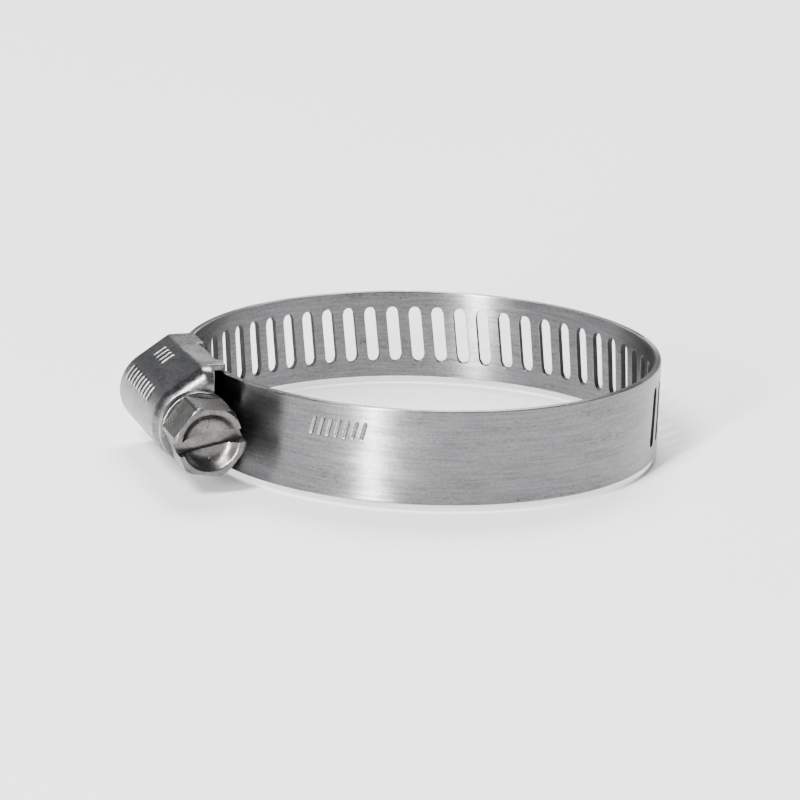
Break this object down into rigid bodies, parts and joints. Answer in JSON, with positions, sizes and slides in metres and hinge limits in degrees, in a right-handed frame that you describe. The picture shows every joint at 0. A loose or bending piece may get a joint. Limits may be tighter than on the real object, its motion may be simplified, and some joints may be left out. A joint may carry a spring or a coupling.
{
  "type": "hose clamp",
  "caption": "Worm-drive hose clamp: perforated steel band closed to a loop by a slotted hexagon-head screw in a pressed housing.",
  "frame": {"origin": "centre of the loop, on the axis of the clamped hose and at the middle of the band's width", "axes": "+Z along the hose's axis, -X towards the housing, -Y towards the screw's head"},
  "size_m": [0.0453, 0.0396, 0.0092],
  "materials": {
    "band_steel": "rolled stainless strip, brushed along its length",
    "housing_steel": "bright pressed stainless sheet with fine scratches",
    "screw_steel": "cold-formed stainless screw, satin with a slightly warm tone"
  },
  "bodies": {
    "clamp_body": {"housing": "housing_steel", "band_root": "band_steel", "band_loop": "band_steel"},
    "screw": {"worm_screw": "screw_steel"},
    "band_end": {"band_tail": "band_steel"}
  },
  "joints": [
    {"name": "screw_turn", "type": "hinge", "parent": "clamp_body", "child": "screw", "pos_m": [-0.0221, 0, 0], "axis": [0, 1, 0], "range_deg": [-1000, 380]},
    {"name": "band_end_travel", "type": "slide", "parent": "clamp_body", "child": "band_end", "axis": [0, -1, 0], "range_m": [-0.0057, 0.00217], "deforming": ["band_loop"]}
  ],
  "couplings": [
    {"joint": "screw_turn", "follows": "band_end_travel", "rad_per_m": 3050.1}
  ]
}
